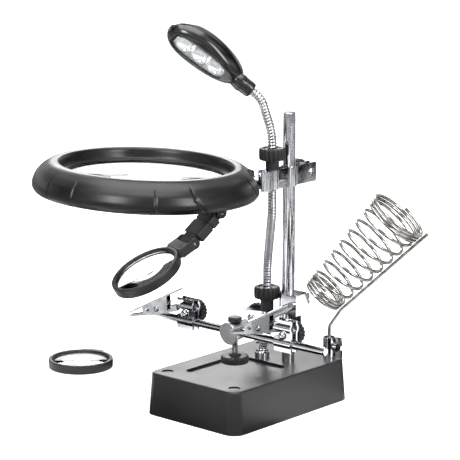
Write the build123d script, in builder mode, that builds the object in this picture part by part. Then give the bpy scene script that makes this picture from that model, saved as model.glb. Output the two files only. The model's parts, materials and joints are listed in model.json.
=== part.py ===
"""Helping hands clamp with a lamp, two magnifiers, two clips and an iron rest.

Millimetres.  The origin is the centre of the base's underside: X runs across the base,
Y along it towards the post end, Z up.
"""
from build123d import *
import os
from math import cos, pi, radians, sin, tan

os.makedirs("parts", exist_ok=True)

# ---------------------------------------------------------------- driving dimensions
base_width = 76.0           # X, at the bottom
base_depth = 110.0          # Y, at the bottom
base_height = 26.6
base_corner = 8.0
base_draft = 4.3            # degrees
base_wall = 2.4
base_roof = 3.4
base_top_edge = 1.2
cover_thick = 2.2
cover_clear = 0.2

tray_width, tray_length, tray_y, tray_depth = 42.0, 50.0, -12.0, 1.6

post_x, post_y = 13.0, 23.0
post_radius = 4.0
post_top = 185.0
post_bottom = 4.5

hose_radius = 2.9
neck_x, neck_y = -6.0, 20.0

running_clear = 0.05        # radial, between pieces that turn or slide in each other
joint_gap = 0.3             # between pieces that only pass each other

lower_bracket_z = 53.0
lower_bracket_angle = 200.0
lower_bracket_hose = 14.2   # post to hose
upper_bracket_z = 145.5
upper_bracket_hose = 16.0
bracket_ball_reach = 24.0
bracket_height = 12.0
lower_bracket_height = 10.0
plate_thick = 1.2
bracket_gap = 4.0           # between the two plates of a bracket

ball_radius = 3.9
magnifier_reach = 71.5      # ball to the middle of the main lens
magnifier_bearing = 221.75
magnifier_tilt = 2.6
hood_rim_radius = 69.5
hood_top_radius = 57.0
hood_half_height = 9.5
hood_wall = 2.2
main_lens_radius = 51.7
main_lens_edge = 3.0
main_lens_crown = 2.6
lens_seat_width = 2.2

small_lens_radius = 18.9
small_frame_radius = 21.6
small_frame_thick = 6.0
loupe_bearing = 70.5        # direction from the small lens back to its hinge
loupe_link_length = 24.5
loupe_link_slope = 42.6
loupe_reach = 32.0          # lower hinge to the middle of the small lens
loupe_slope = 29.0
link_width = 12.0
ear_thick = 2.0
pin_radius = 1.2

arm_x = 20.5
arm_rise = 5.7              # degrees, the cross arm climbs towards the back
arm_head_y, arm_head_z = -35.8, 59.2
arm_radius = 2.6
arm_back_y = 30.3
head_radius = 5.75
head_front, head_back = 6.5, 9.0
cross_rod_radius = 2.6
cross_rod_left, cross_rod_right = -51.0, 91.0

clamp_width = 13.0
clamp_below, clamp_above = 5.0, 14.0
clamp_ball_rise = 9.5
clamp_ball_radius = 2.8
clamp_gap = 3.6
left_clamp_x, right_clamp_x = -18.0, 60.5
clip_body = 33.0
clip_sheet = 0.6

iron_x, iron_y = 26.8, 47.1
iron_bearing = 26.0
iron_slope = 48.6
coil_length = 74.0
coil_small_radius = 12.2
coil_big_radius = 18.4
wire_radius = 1.05

battery_x, battery_y = -6.0, -25.5
cell_radius, cell_length, cell_pitch = 5.25, 44.5, 11.0
bay_width, bay_length, bay_height, bay_wall = 36.0, 50.0, 13.5, 1.2

spare_x, spare_y = -142.7, -8.0
spare_tab_bearing = 115.0

BOTTOM = (Align.CENTER, Align.CENTER, Align.MIN)


# ---------------------------------------------------------------- helpers
def bearing(angle, slope=0.0):
    """Unit vector at a compass angle from +X and a slope above the horizontal, in degrees."""
    level = cos(radians(slope))
    return Vector(level * cos(radians(angle)), level * sin(radians(angle)), sin(radians(slope)))


def keep(piece, name):
    """Label a finished piece and write it as its own STEP file."""
    piece.part.label = name
    export_step(piece.part, f"parts/{name}.step")


def fluted_knob(place, radius, thick, hub=(0, 0), bore=0.0, screw=(0, 0), flutes=18):
    """Knob that grows along the plane's Z, with a hub and a screw on its other side."""
    hub_radius, hub_length = hub
    screw_radius, screw_length = screw
    with BuildPart(place) as piece:
        Cylinder(radius, thick, align=BOTTOM)
        chamfer(piece.edges().filter_by(GeomType.CIRCLE), min(0.7, thick / 5))
        with PolarLocations(radius + 0.45, flutes):
            Cylinder(1.0, thick, align=BOTTOM, mode=Mode.SUBTRACT)
        if hub_length:
            with Locations((0, 0, -hub_length)):
                Cylinder(hub_radius, hub_length, align=BOTTOM)
        if screw_length:
            with Locations((0, 0, -screw_length)):
                Cylinder(screw_radius, screw_length, align=BOTTOM)
        if bore:
            Cylinder(bore, 6 * (thick + hub_length), mode=Mode.SUBTRACT)
    return piece


def stamped_pair(place, start, end, gap, depth, grooves, screw, notch=None):
    """Two facing plates along the plane's X, depth tall along its Z, with pressed grooves.

    grooves lists (distance, radius) of what the plates grip, screw is (distance, radius) of
    the hole across both, and notch (distance, angle, width) a slot out of one of them.
    """
    with BuildPart() as piece:
        with BuildSketch(place.offset(-depth / 2)):
            with Locations(((start + end) / 2, 0)):
                Rectangle(end - start, gap + 2 * plate_thick)
            for distance, radius in grooves:
                with Locations((distance, 0)):
                    Circle(radius + plate_thick)
            with Locations(((start + end) / 2, 0)):
                Rectangle(2 * (end - start), gap, mode=Mode.SUBTRACT)
            for distance, radius in grooves:
                with Locations((distance, 0)):
                    Circle(radius, mode=Mode.SUBTRACT)
            if notch:
                distance, angle, width = notch
                with Locations(Location((distance, 0), angle)):
                    Rectangle(4 * width, width, align=(Align.MIN, Align.CENTER), mode=Mode.SUBTRACT)
        extrude(amount=depth)
        distance, radius = screw
        with BuildSketch(Plane(origin=place.from_local_coords((distance, 0, 0)), x_dir=place.x_dir,
                               z_dir=place.y_dir)):
            Circle(radius)
        extrude(amount=5 * gap, both=True, mode=Mode.SUBTRACT)
    return piece


def bent_tube(points, radii, radius):
    """Round bar along straight runs joined by arcs."""
    with BuildPart() as piece:
        with BuildLine() as route:
            FilletPolyline(*points, radius=radii)
        with BuildSketch(Plane(origin=route.line @ 0, z_dir=route.line % 0)):
            Circle(radius)
        sweep(path=route.line)
    return piece


def round_bar(start, way, length, radius, bore=0.0):
    """Straight bar or sleeve from a point along a direction."""
    with BuildPart(Plane(origin=start, z_dir=way)) as piece:
        Cylinder(radius, length, align=BOTTOM)
        chamfer(piece.edges().filter_by(GeomType.CIRCLE), min(0.4, radius / 4))
        if bore:
            Cylinder(bore, 3 * length, mode=Mode.SUBTRACT)
    return piece


# ---------------------------------------------------------------- base
roof_under = base_height - base_roof
boss_points = [(-27.6, -44.3), (27.6, -44.3), (-27.6, 44.3), (29.0, 22.0)]
boss_radius, screw_radius = 3.6, 1.3
post_boss_radius, post_boss_z = 8.0, 12.0
ferrule_radius = 4.7
ferrule_rise = 4.0
socket_radius, socket_rise, socket_root = 3.9, 13.5, 10.0

with BuildPart() as base_housing:
    with BuildSketch():
        RectangleRounded(base_width, base_depth, base_corner)
    extrude(amount=base_height, taper=base_draft)
    fillet(base_housing.faces().sort_by(Axis.Z)[-1].edges(), base_top_edge)
    with BuildSketch():
        RectangleRounded(base_width - 2 * base_wall, base_depth - 2 * base_wall,
                         base_corner - base_wall)
    extrude(amount=roof_under, taper=base_draft, mode=Mode.SUBTRACT)
    with BuildSketch(Plane.XY.offset(base_height)):
        with Locations((0, tray_y)):
            RectangleRounded(tray_width, tray_length, 4)
    extrude(amount=-tray_depth, mode=Mode.SUBTRACT)
    with BuildSketch(Plane.XY.offset(base_height)):
        with Locations(*boss_points[:3]):
            Circle(boss_radius)
    extrude(amount=-0.8, mode=Mode.SUBTRACT)
    with Locations(*[(x, y, cover_thick) for x, y in boss_points]):
        Cylinder(boss_radius, roof_under - cover_thick + 0.5, align=BOTTOM)
    with Locations((post_x, post_y, post_boss_z)):
        Cylinder(post_boss_radius, roof_under - post_boss_z + 0.5, align=BOTTOM)
    with Locations((iron_x, iron_y, socket_root)):
        Cylinder(socket_radius + base_wall, roof_under - socket_root + 0.5, align=BOTTOM)
    with BuildSketch():
        RectangleRounded(base_width, base_depth, base_corner)
    extrude(amount=base_height, taper=base_draft, mode=Mode.INTERSECT)
    with Locations(*[(x, y, cover_thick) for x, y in boss_points]):
        Cylinder(screw_radius, 13, align=BOTTOM, mode=Mode.SUBTRACT)
    with Locations((post_x, post_y, 0)):
        Cylinder(post_radius, 2 * base_height, align=BOTTOM, mode=Mode.SUBTRACT)
    with Locations((neck_x, neck_y, 0)):
        Cylinder(ferrule_radius - 0.8, 2 * base_height, align=BOTTOM, mode=Mode.SUBTRACT)
    with Locations((iron_x, iron_y, 0)):
        Cylinder(socket_radius, 2 * base_height, align=BOTTOM, mode=Mode.SUBTRACT)
keep(base_housing, "base_housing")

door_width, door_length = bay_width - 2 * bay_wall, bay_length - 2 * bay_wall
with BuildPart() as base_bottom_cover:
    with BuildSketch():
        RectangleRounded(base_width - 2 * (base_wall + cover_clear),
                         base_depth - 2 * (base_wall + cover_clear), base_corner - base_wall)
        with Locations((battery_x, battery_y)):
            RectangleRounded(door_width, door_length, 2, mode=Mode.SUBTRACT)
    extrude(amount=cover_thick, taper=base_draft)
    with Locations(*[(x, y, cover_thick) for x, y in boss_points]):
        CounterBoreHole(screw_radius + 0.2, 2.6, 1.5, depth=cover_thick)
    with Locations(*[(x, y, 0) for x, y in boss_points]):
        Cylinder(2.7, 1.4, align=BOTTOM, mode=Mode.SUBTRACT)
keep(base_bottom_cover, "base_bottom_cover")

with BuildPart() as bottom_screws:
    with Locations(*[(x, y, 0.2) for x, y in boss_points]):
        Cylinder(2.5, 1.2, align=BOTTOM)
        Cylinder(screw_radius, 12, align=BOTTOM)
keep(bottom_screws, "bottom_screws")

with BuildPart() as battery_door:
    with BuildSketch():
        with Locations((battery_x, battery_y)):
            RectangleRounded(door_width - 2 * joint_gap, door_length - 2 * joint_gap, 2 - joint_gap)
    extrude(amount=cover_thick)
    with BuildSketch():
        with Locations((battery_x, battery_y - door_length / 2 + 7)):
            SlotOverall(16, 4)
    extrude(amount=0.8, mode=Mode.SUBTRACT)
keep(battery_door, "battery_door")

with BuildPart(Plane.XY.offset(cover_thick)) as battery_tray:
    with Locations((battery_x, battery_y, 0)):
        Box(bay_width, bay_length, bay_height, align=BOTTOM)
        Box(bay_width - 2 * bay_wall, bay_length - 2 * bay_wall, bay_height - bay_wall,
            align=BOTTOM, mode=Mode.SUBTRACT)
keep(battery_tray, "battery_tray")

cell_z = cover_thick + cell_radius + 0.6
with BuildPart() as battery_cells:
    for step in (-1, 0, 1):
        with Locations(Location((battery_x + step * cell_pitch, battery_y, cell_z), (90, 0, 0))):
            Cylinder(cell_radius, cell_length - 1.0)
            Cylinder(2.0, cell_length)
keep(battery_cells, "battery_cells")

contact_y = (bay_length - 2 * bay_wall) / 2
with BuildPart() as battery_contacts:
    for side in (-1, 1):
        with Locations((battery_x, battery_y + side * (contact_y - 0.4), cell_z)):
            Box(3 * cell_pitch - 1, 0.6, 8)
keep(battery_contacts, "battery_contacts")

with BuildPart(Plane.XY.offset(cover_thick)) as ballast_weight:
    with Locations((22.5, -15.0, 0)):
        Box(18, 46, 15, align=BOTTOM)
    fillet(ballast_weight.edges().filter_by(Axis.Z), 2)
keep(ballast_weight, "ballast_weight")

# ---------------------------------------------------------------- post
with BuildPart(Plane((post_x, post_y, post_bottom))) as post:
    Cylinder(post_radius, post_top - post_bottom, align=BOTTOM)
    chamfer(post.edges().group_by(Axis.Z)[-1], 0.6)
keep(post, "post")

with BuildPart() as post_nut:
    with BuildSketch(Plane((post_x, post_y, post_bottom + 1.5))):
        RegularPolygon(7.5, 6)
        Circle(post_radius, mode=Mode.SUBTRACT)
    extrude(amount=post_boss_z - post_bottom - 1.5)
keep(post_nut, "post_nut")

with BuildPart(Plane((neck_x, neck_y, roof_under - 2))) as neck_ferrule:
    Cylinder(ferrule_radius - 0.8, base_roof + 2, align=BOTTOM)
    with Locations((0, 0, base_roof + 2)):
        Cylinder(ferrule_radius, ferrule_rise, align=BOTTOM)
    chamfer(neck_ferrule.edges().group_by(Axis.Z)[-1], 0.6)
    Cylinder(hose_radius, 40, mode=Mode.SUBTRACT)
keep(neck_ferrule, "neck_ferrule")


# ---------------------------------------------------------------- gooseneck
lower_way = bearing(lower_bracket_angle)
lower_hose_x = post_x + lower_bracket_hose * lower_way.X
lower_hose_y = post_y + lower_bracket_hose * lower_way.Y
upper_hose_y = post_y - upper_bracket_hose
lamp_root = Vector(1.0, -3.5, 202.3)
lamp_way = Vector(-0.593, -0.529, 0.607).normalized()
neck_split_low = lower_bracket_z + 22.4
neck_split_high = upper_bracket_z - bracket_height / 2 - 0.6

gooseneck_lower = bent_tube(
    [(neck_x, neck_y, roof_under - 4), (neck_x, neck_y, 31.5), (lower_hose_x, lower_hose_y, 44.0),
     (lower_hose_x, lower_hose_y, neck_split_low)],
    [14.0, 14.0], hose_radius)
keep(gooseneck_lower, "gooseneck_lower")

gooseneck_middle = bent_tube(
    [(lower_hose_x, lower_hose_y, neck_split_low + 0.1),
     (lower_hose_x, lower_hose_y, neck_split_low + 12),
     (post_x, upper_hose_y, neck_split_high - 14), (post_x, upper_hose_y, neck_split_high - 0.1)],
    [30.0, 30.0], hose_radius)
keep(gooseneck_middle, "gooseneck_middle")

gooseneck_upper = bent_tube(
    [(post_x, upper_hose_y, neck_split_high), (post_x, upper_hose_y, 173.0),
     lamp_root - lamp_way * 11.5, lamp_root],
    [50.0, 15.0], hose_radius)
keep(gooseneck_upper, "gooseneck_upper")


# ---------------------------------------------------------------- brackets on the post
knob_radius, knob_thick = 7.4, 5.6
gland_radius, gland_thick, gland_hub = 8.3, 7.6, 4.2
screw_r = 1.5
post_grip = post_radius + running_clear
plate_outer = bracket_gap / 2 + plate_thick

lower_plane = Plane(origin=(post_x, post_y, lower_bracket_z), x_dir=lower_way, z_dir=(0, 0, 1))
upper_plane = Plane(origin=(post_x, post_y, upper_bracket_z), x_dir=(0, -1, 0), z_dir=(0, 0, 1))
lower_screw = lower_bracket_hose + 9.5
upper_screw = -18.0
stud_angle = magnifier_bearing - 270.0

lower_bracket_plates = stamped_pair(
    lower_plane, -7.5, lower_screw + 6.5, bracket_gap, lower_bracket_height,
    [(0, post_radius), (lower_bracket_hose, hose_radius)], (lower_screw, screw_r + running_clear))
keep(lower_bracket_plates, "lower_bracket_plates")

upper_bracket_plates = stamped_pair(
    upper_plane, upper_screw - 4.5, bracket_ball_reach + 3, bracket_gap, bracket_height,
    [(0, post_grip), (upper_bracket_hose, hose_radius), (bracket_ball_reach, ball_radius + 0.08)],
    (upper_screw, screw_r + running_clear), notch=(bracket_ball_reach, stud_angle, 2 * ball_radius))
keep(upper_bracket_plates, "upper_bracket_plates")


def bracket_knob(place, distance, side):
    """Clamp screw across a bracket with its fluted knob outside the plate."""
    way = place.y_dir * side
    seat = place.from_local_coords((distance, side * (plate_outer + joint_gap + 1.5), 0))
    return fluted_knob(Plane(origin=seat, z_dir=way), knob_radius, knob_thick, hub=(3.2, 1.5),
                       screw=(screw_r, 1.5 + joint_gap + 2 * plate_outer + 2.0))


keep(bracket_knob(lower_plane, lower_screw, -1), "lower_bracket_knob")
keep(bracket_knob(upper_plane, upper_screw, -1), "upper_bracket_knob")

lower_gland_z = lower_bracket_z + lower_bracket_height / 2 + joint_gap
upper_gland_z = upper_bracket_z + bracket_height / 2 + joint_gap
lower_hub, upper_hub = 8.0, 5.6
neck_gland_lower = fluted_knob(
    Plane((lower_hose_x, lower_hose_y, lower_gland_z + lower_hub)), gland_radius, gland_thick,
    hub=(gland_hub, lower_hub), bore=hose_radius + running_clear)
keep(neck_gland_lower, "neck_gland_lower")
neck_gland_upper = fluted_knob(
    Plane((post_x, upper_hose_y, upper_gland_z + upper_hub)), gland_radius, gland_thick,
    hub=(gland_hub, upper_hub), bore=hose_radius + running_clear)
keep(neck_gland_upper, "neck_gland_upper")


# ---------------------------------------------------------------- lamp
lamp_face = Vector(0.170, -0.817, -0.545)
lamp_face = (lamp_face - lamp_way * lamp_face.dot(lamp_way)).normalized()
lamp_plane = Plane(origin=lamp_root, x_dir=lamp_way, z_dir=lamp_face)
lamp_middle, lamp_half_length, lamp_half_width = 34.0, 29.0, 12.0
lamp_back_length, lamp_back_width = 23.0, 7.0
lamp_back, lamp_front = 9.0, 4.5
lamp_split = -1.0
window_length, window_width = 37.0, 15.0
button_x, button_radius, button_rise = 25.0, 4.2, 4.5
lamp_wall = 1.6
led_pitch = 11.5

lamp_collar = round_bar(lamp_root - lamp_way * 3.0, lamp_way, 7.8, 4.6,
                        bore=hose_radius + running_clear)
keep(lamp_collar, "lamp_collar")

with BuildPart() as lamp_upper_shell:
    for wall, mode in ((0, Mode.ADD), (lamp_wall, Mode.SUBTRACT)):
        with BuildSketch(lamp_plane.offset(lamp_split)):
            with Locations((lamp_middle, 0)):
                Ellipse(lamp_half_length - wall, lamp_half_width - wall)
        with BuildSketch(lamp_plane.offset(-lamp_back + wall)):
            with Locations((lamp_middle - 2, 0)):
                Ellipse(lamp_back_length - wall, lamp_back_width - wall)
        loft(mode=mode)
    with BuildSketch(lamp_plane.offset(-lamp_back - 1)):
        with Locations((button_x, 0)):
            Circle(button_radius + joint_gap)
    extrude(amount=lamp_back, mode=Mode.SUBTRACT)
keep(lamp_upper_shell, "lamp_upper_shell")

with BuildPart() as lamp_lower_bezel:
    with BuildSketch(lamp_plane.offset(lamp_split)):
        with Locations((lamp_middle, 0)):
            Ellipse(lamp_half_length, lamp_half_width)
            SlotOverall(window_length, window_width, mode=Mode.SUBTRACT)
    extrude(amount=lamp_front - lamp_split)
keep(lamp_lower_bezel, "lamp_lower_bezel")

with BuildPart() as lamp_window:
    with BuildSketch(lamp_plane.offset(lamp_front - 2.0)):
        with Locations((lamp_middle, 0)):
            SlotOverall(window_length - 0.2, window_width - 0.2)
    extrude(amount=1.2)
keep(lamp_window, "lamp_window")

with BuildPart() as lamp_reflector:
    with BuildSketch(lamp_plane.offset(lamp_split)):
        with Locations((lamp_middle, 0)):
            SlotOverall(window_length - 0.2, window_width - 0.2)
            with GridLocations(led_pitch, 0, 3, 1):
                Circle(3.4, mode=Mode.SUBTRACT)
    extrude(amount=1.4)
keep(lamp_reflector, "lamp_reflector")

with BuildPart(lamp_plane.offset(lamp_split)) as lamp_leds:
    with Locations((lamp_middle, 0, 0)):
        with GridLocations(led_pitch, 0, 3, 1):
            Cylinder(2.5, 1.5, align=BOTTOM)
    with Locations((lamp_middle, 0, 1.5)):
        with GridLocations(led_pitch, 0, 3, 1):
            Sphere(2.2, arc_size1=0)
keep(lamp_leds, "lamp_leds")

with BuildPart(lamp_plane.offset(lamp_split - 1.4)) as lamp_circuit_board:
    with Locations((lamp_middle + 1, 0, 0)):
        Box(34, 13, 1.2, align=BOTTOM)
keep(lamp_circuit_board, "lamp_circuit_board")

with BuildPart(lamp_plane.offset(lamp_split - 2.2)) as lamp_button:
    with Locations((button_x, 0, -lamp_back - button_rise - lamp_split + 2.2)):
        Cylinder(button_radius, lamp_back + button_rise + lamp_split - 3.6, align=BOTTOM)
keep(lamp_button, "lamp_button")


# ---------------------------------------------------------------- main magnifier
ball_point = Vector(post_x, post_y - bracket_ball_reach, upper_bracket_z)
ring_out = bearing(magnifier_bearing - 180, -magnifier_tilt)
ring_up = bearing(magnifier_bearing - 180, 90 - magnifier_tilt)
stud_height = 1.5           # ball above the hood's middle plane
ring_plane = Plane(origin=ball_point - ring_out * magnifier_reach - ring_up * stud_height,
                   x_dir=ring_out, z_dir=ring_up)
stud_radius, boss_radius_hood = 2.0, 6.2
tilt_room = 8.4             # kept free about the ball, so that the hood clears the plates
boss_end = magnifier_reach - ball_radius - joint_gap
stud_length = 14.0
lens_z = 1.0                # underside of the seat that the main lens rests against

hood_section = [
    (hood_rim_radius, -hood_half_height), (hood_rim_radius - 0.6, -5.5),
    (hood_rim_radius - 3.5, 1.0), (hood_rim_radius - 8.0, 6.2),
    (hood_top_radius, hood_half_height), (hood_top_radius - 3.5, hood_half_height),
    (main_lens_radius + 0.8, lens_z + 1.5), (main_lens_radius - lens_seat_width, lens_z + 1.5),
    (main_lens_radius - lens_seat_width, lens_z), (main_lens_radius + running_clear, lens_z),
    (main_lens_radius + running_clear, lens_z - 6.5), (main_lens_radius + 2.0, lens_z - 6.5),
    (main_lens_radius + 2.0, lens_z + 3.0), (hood_top_radius, hood_half_height - 3.4),
    (hood_rim_radius - 9.6, 4.6), (hood_rim_radius - 5.6, 0.0),
    (hood_rim_radius - hood_wall - 0.6, -5.8), (hood_rim_radius - hood_wall, -hood_half_height)]

loupe_hinge = Vector(16.0, -48.0, 134.3)
hinge_way = bearing(loupe_bearing + 90)
loupe_back = bearing(loupe_bearing)
hinge_plane = Plane(origin=loupe_hinge, x_dir=loupe_back * -1, z_dir=(0, 0, 1))
knuckle_radius = 3.2
ear_gap = link_width / 2 + joint_gap
hinge_seat = ring_plane.to_local_coords(loupe_hinge)
pad_low, pad_high = lens_z - 8.6, lens_z - 6.4
ear_height = (pad_low + pad_high) / 2 - hinge_seat.Z

with BuildPart() as magnifier_hood:
    with BuildSketch(Plane(origin=ring_plane.origin, x_dir=ring_out * -1, z_dir=ring_plane.y_dir)):
        with BuildLine():
            Polyline(*hood_section, close=True)
        make_face()
    revolve(axis=Axis(ring_plane.origin, ring_up))
    with BuildSketch(Plane(origin=ring_plane.from_local_coords((hood_rim_radius - 8, 0, stud_height)),
                           x_dir=ring_up + ring_plane.y_dir, z_dir=ring_out)):
        Circle(boss_radius_hood)
    extrude(amount=boss_end - hood_rim_radius + 8)
    with BuildSketch(Plane(origin=ring_plane.from_local_coords((boss_end, 0, stud_height)),
                           x_dir=ring_up + ring_plane.y_dir, z_dir=ring_out * -1)):
        Circle(stud_radius + running_clear)
    extrude(amount=stud_length - ball_radius, mode=Mode.SUBTRACT)
    with Locations(ball_point):
        Sphere(tilt_room, mode=Mode.SUBTRACT)
    with BuildSketch(Plane(origin=ring_plane.from_local_coords((hinge_seat.X, hinge_seat.Y, pad_low)),
                           x_dir=hinge_way, z_dir=ring_up)):
        Rectangle(2 * (ear_gap + ear_thick), 2 * knuckle_radius)
    extrude(amount=pad_high - pad_low)
    for side in (-1, 1):
        with BuildSketch(Plane(origin=loupe_hinge + hinge_way * side * (ear_gap + ear_thick / 2),
                               x_dir=loupe_back * -1, z_dir=hinge_way)):
            with Locations((0, ear_height / 2)):
                Rectangle(2 * knuckle_radius, ear_height)
            Circle(knuckle_radius)
            Circle(pin_radius, mode=Mode.SUBTRACT)
        extrude(amount=ear_thick / 2, both=True)
keep(magnifier_hood, "magnifier_hood")

crown_room = 0.25           # the lens already bulges this much at its seat
with BuildPart() as magnifier_retainer:
    with BuildSketch(ring_plane.offset(lens_z - 6.0)):
        Circle(main_lens_radius)
        Circle(main_lens_radius - lens_seat_width, mode=Mode.SUBTRACT)
    extrude(amount=6.0 - main_lens_edge - 2 * crown_room)
keep(magnifier_retainer, "magnifier_retainer")


def lens_blank(place, radius, edge, crown):
    """Double convex lens whose upper edge lies in the plane."""
    dome = (radius ** 2 + crown ** 2) / (2 * crown)
    with BuildPart() as piece:
        with BuildSketch(Plane(origin=place.origin, x_dir=place.x_dir, z_dir=place.y_dir * -1)):
            with BuildLine():
                Line((0, crown), (0, -edge - crown))
                ThreePointArc((0, -edge - crown),
                              (radius / 2, dome - edge - crown - (dome ** 2 - radius ** 2 / 4) ** 0.5),
                              (radius, -edge))
                Line((radius, -edge), (radius, 0))
                ThreePointArc((radius, 0),
                              (radius / 2, crown - dome + (dome ** 2 - radius ** 2 / 4) ** 0.5),
                              (0, crown))
            make_face()
        revolve(axis=Axis(place.origin, place.z_dir))
    return piece


keep(lens_blank(ring_plane.offset(lens_z - crown_room), main_lens_radius, main_lens_edge, main_lens_crown), "main_lens")

with BuildPart(Plane(origin=ball_point, z_dir=ring_out * -1)) as magnifier_stud:
    Sphere(ball_radius)
    Cylinder(stud_radius, stud_length - 0.5, align=BOTTOM)
keep(magnifier_stud, "magnifier_stud")


# ---------------------------------------------------------------- small magnifier
link_way = bearing(loupe_bearing + 180, -loupe_link_slope)
lower_hinge = loupe_hinge + link_way * loupe_link_length
link_plane = Plane(origin=loupe_hinge, x_dir=link_way, z_dir=link_way.cross(hinge_way) * -1)
socket_way = bearing(loupe_bearing + 180, -loupe_slope)
socket_plane = Plane(origin=lower_hinge, x_dir=socket_way, z_dir=socket_way.cross(hinge_way) * -1)
link_thick = 4.6

with BuildPart() as loupe_link:
    with BuildSketch(Plane(origin=loupe_hinge, x_dir=link_way, z_dir=link_plane.y_dir * -1)):
        Circle(knuckle_radius)
        with Locations((loupe_link_length, 0)):
            Circle(knuckle_radius)
        with Locations((loupe_link_length / 2, 0)):
            Rectangle(loupe_link_length, link_thick)
        with Locations((loupe_link_length / 2, link_thick / 2)):
            Rectangle(loupe_link_length - 4 * knuckle_radius, 2.0)
        with Locations((0, 0), (loupe_link_length, 0)):
            Circle(pin_radius + running_clear, mode=Mode.SUBTRACT)
    extrude(amount=link_width / 2, both=True)
keep(loupe_link, "loupe_link")

pin_length = 2 * (ear_gap + ear_thick)
for centre, name in ((loupe_hinge, "loupe_upper_pin"), (lower_hinge, "loupe_lower_pin")):
    keep(round_bar(centre - hinge_way * pin_length / 2, hinge_way, pin_length, pin_radius), name)

tab_width, tab_thick = 10.0, 3.0
tab_root = loupe_reach - small_frame_radius
tab_start = knuckle_radius + joint_gap + 0.4
tab_inner = loupe_reach - small_lens_radius - 1.0
socket_start = knuckle_radius + joint_gap
socket_end = tab_root - joint_gap
socket_half = ear_gap + ear_thick

with BuildPart() as loupe_socket:
    with BuildSketch(socket_plane.offset(-link_thick / 2 - 0.6)):
        with Locations(((socket_start + socket_end) / 2, 0)):
            Rectangle(socket_end - socket_start, 2 * socket_half)
    extrude(amount=link_thick + 1.2)
    for side in (-1, 1):
        with BuildSketch(Plane(origin=lower_hinge + hinge_way * side * (ear_gap + ear_thick / 2),
                               x_dir=socket_way, z_dir=socket_plane.y_dir * -1)):
            Circle(knuckle_radius)
            with Locations((socket_start / 2 + 0.5, 0)):
                Rectangle(socket_start + 1, 2 * knuckle_radius - 0.6)
            Circle(pin_radius, mode=Mode.SUBTRACT)
        extrude(amount=ear_thick / 2, both=True)
    with BuildSketch(socket_plane.offset(-tab_thick / 2 - running_clear)):
        with Locations((tab_start - 0.3, 0)):
            Rectangle(socket_end, tab_width + 2 * running_clear, align=(Align.MIN, Align.CENTER))
    extrude(amount=tab_thick + 2 * running_clear, mode=Mode.SUBTRACT)
keep(loupe_socket, "loupe_socket")


def small_frame(place):
    """Ring for a small lens about the plane's origin, with its plug-in tab along the plane's X."""
    with BuildPart() as piece:
        with BuildSketch(place.offset(-small_frame_thick / 2)):
            Circle(small_frame_radius)
            with Locations((small_frame_radius - 1.5, 0)):
                Rectangle(3.0, tab_width + 6)
        extrude(amount=small_frame_thick)
        chamfer(piece.edges().filter_by(GeomType.CIRCLE), 0.8)
        with BuildSketch(place.offset(-tab_thick / 2)):
            with Locations((small_frame_radius - 2, 0)):
                Rectangle(loupe_reach - tab_start - small_frame_radius + 2, tab_width,
                          align=(Align.MIN, Align.CENTER))
        extrude(amount=tab_thick)
        with BuildSketch(place.offset(-small_frame_thick)):
            Circle(small_lens_radius - 0.9)
        extrude(amount=2 * small_frame_thick, mode=Mode.SUBTRACT)
        with BuildSketch(place.offset(-1.0)):
            Circle(small_lens_radius)
        extrude(amount=small_frame_thick, mode=Mode.SUBTRACT)
    return piece


small_lens_edge, small_lens_crown = 2.0, 1.4
small_centre = lower_hinge + socket_way * loupe_reach
small_plane = Plane(origin=small_centre, x_dir=socket_way * -1, z_dir=socket_plane.z_dir)
spare_plane = Plane(origin=(spare_x, spare_y, small_frame_thick / 2),
                    x_dir=bearing(spare_tab_bearing), z_dir=(0, 0, 1))
for place, frame_name, glass_name in ((small_plane, "small_lens_frame", "small_lens_glass"),
                                      (spare_plane, "spare_lens_frame", "spare_lens_glass")):
    keep(small_frame(place), frame_name)
    keep(lens_blank(place.offset(small_lens_edge - 1.0 + 0.15), small_lens_radius - 0.02, small_lens_edge,
                    small_lens_crown), glass_name)


# ---------------------------------------------------------------- cross arm
arm_way = bearing(90, arm_rise)
arm_head_point = Vector(arm_x, arm_head_y, arm_head_z)
arm_bore = arm_radius + running_clear
cross_block_z = arm_head_z + (post_y - arm_head_y) * tan(radians(arm_rise))
block_half_y, block_height, block_collar = 6.5, 13.0, 5.7
block_right = arm_x + arm_radius + 1.6
arm_start = 3.4             # along the arm from the head's middle to the arm's front end

with BuildPart() as cross_block:
    with BuildSketch(Plane.XY.offset(cross_block_z - block_height / 2)):
        with Locations((post_x, post_y)):
            Circle(block_collar)
            Rectangle(block_right - post_x, 2 * block_half_y, align=(Align.MIN, Align.CENTER))
    extrude(amount=block_height)
    with BuildSketch(Plane.XY):
        with Locations((post_x, post_y)):
            Circle(post_grip)
    extrude(amount=post_top, mode=Mode.SUBTRACT)
    with BuildSketch(Plane(origin=arm_head_point, z_dir=arm_way)):
        Circle(arm_bore)
    extrude(amount=100, mode=Mode.SUBTRACT)
    with BuildSketch(Plane(origin=(post_x, post_y, cross_block_z - 2.5), z_dir=(0, 1, 0))):
        Circle(screw_r + running_clear)
    extrude(amount=2 * block_half_y, mode=Mode.SUBTRACT)
keep(cross_block, "cross_block")

block_knob_y = post_y + block_half_y + joint_gap + 1.5
cross_block_knob = fluted_knob(
    Plane(origin=(post_x, block_knob_y, cross_block_z - 2.5), z_dir=(0, 1, 0)), knob_radius,
    knob_thick - 0.6, hub=(3.0, 1.5),
    screw=(screw_r, block_knob_y - post_y - post_radius - joint_gap))
keep(cross_block_knob, "cross_block_knob")

arm_length = (arm_back_y - arm_head_y) / cos(radians(arm_rise)) - arm_start
cross_arm_rod = round_bar(arm_head_point + arm_way * arm_start, arm_way, arm_length, arm_radius)
keep(cross_arm_rod, "cross_arm_rod")

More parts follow.
